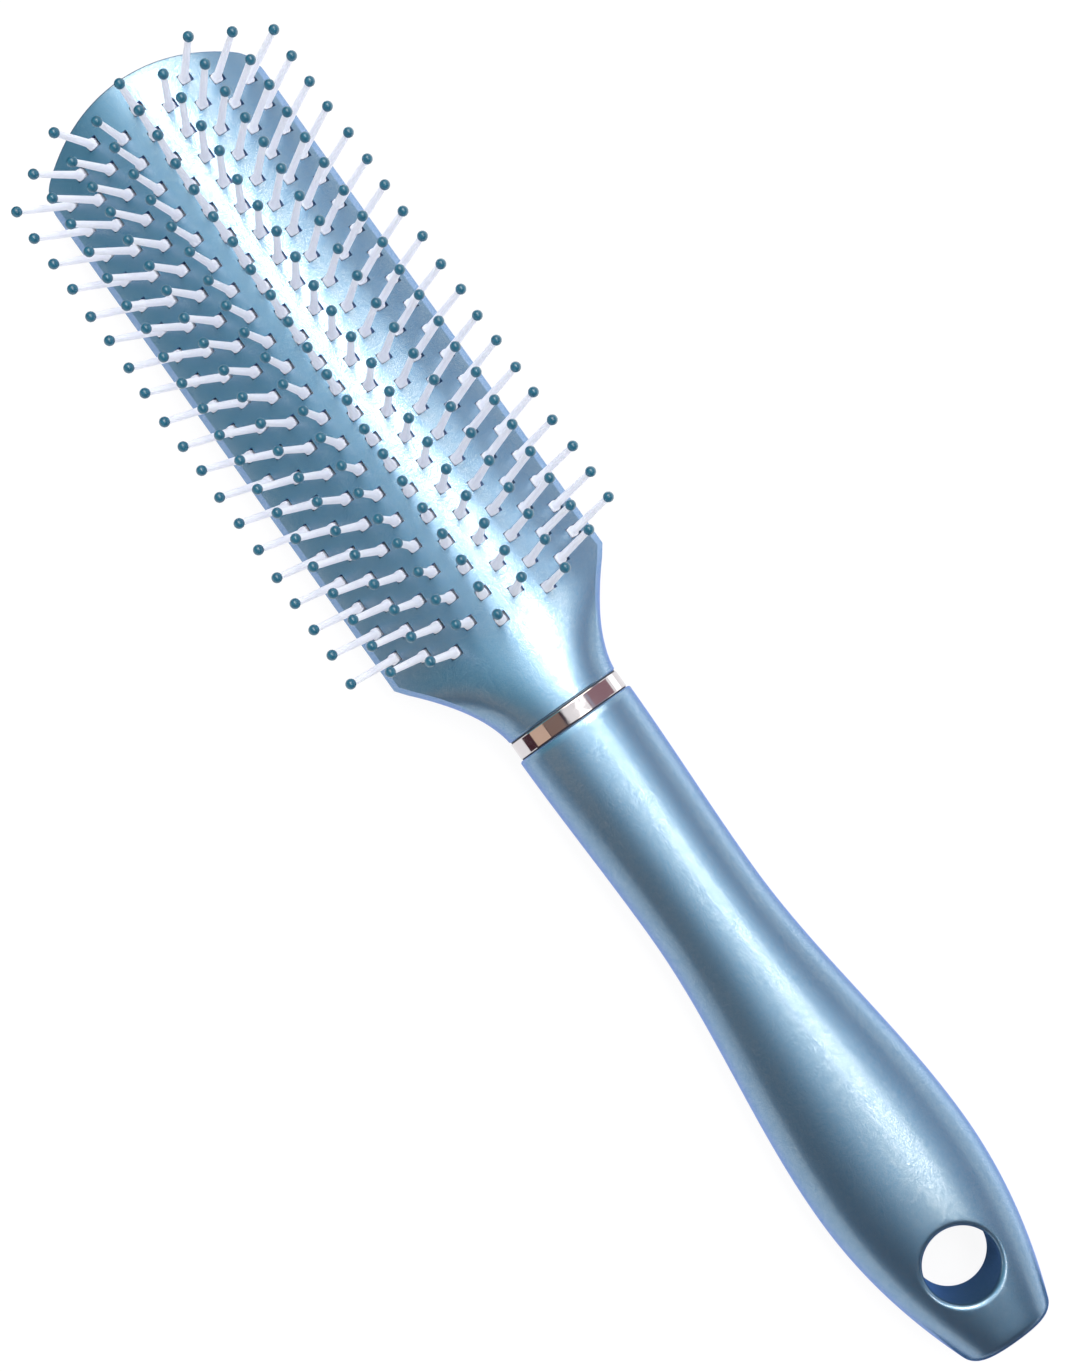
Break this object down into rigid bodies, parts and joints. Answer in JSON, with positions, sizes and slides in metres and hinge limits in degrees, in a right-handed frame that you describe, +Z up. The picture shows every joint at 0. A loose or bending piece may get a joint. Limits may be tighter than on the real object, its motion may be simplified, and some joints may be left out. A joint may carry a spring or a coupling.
{
  "type": "hair styling brush",
  "caption": "Styling brush with a domed head of ball-tipped pins, a flared neck, a plated ring and an oval handle with a hang hole.",
  "frame": {"origin": "bottom centre of the bounding box, with the brush lying on its back", "axes": "+X from the head to the end of the handle, +Z up through the pins, +Y across the head"},
  "size_m": [0.2374, 0.0492, 0.029],
  "materials": {
    "pearl_body": "satin pearl lacquer",
    "plated_ring": "polished plating",
    "white_nylon": "natural nylon",
    "teal_tip": "dipped gloss"
  },
  "bodies": {
    "root": {"head_shell": "pearl_body", "back_cover": "pearl_body", "ring": "plated_ring", "handle": "pearl_body", "pin_strip_a": "white_nylon", "pin_strip_b": "white_nylon", "pin_strip_c": "white_nylon", "pin_strip_d": "white_nylon", "pin_strip_e": "white_nylon", "pin_strip_f": "white_nylon", "pin_strip_g": "white_nylon", "pin_strip_h": "white_nylon", "pin_strip_i": "white_nylon", "ball_tips_a": "teal_tip", "ball_tips_b": "teal_tip", "ball_tips_c": "teal_tip", "ball_tips_d": "teal_tip", "ball_tips_e": "teal_tip", "ball_tips_f": "teal_tip", "ball_tips_g": "teal_tip", "ball_tips_h": "teal_tip", "ball_tips_i": "teal_tip"}
  },
  "joints": []
}
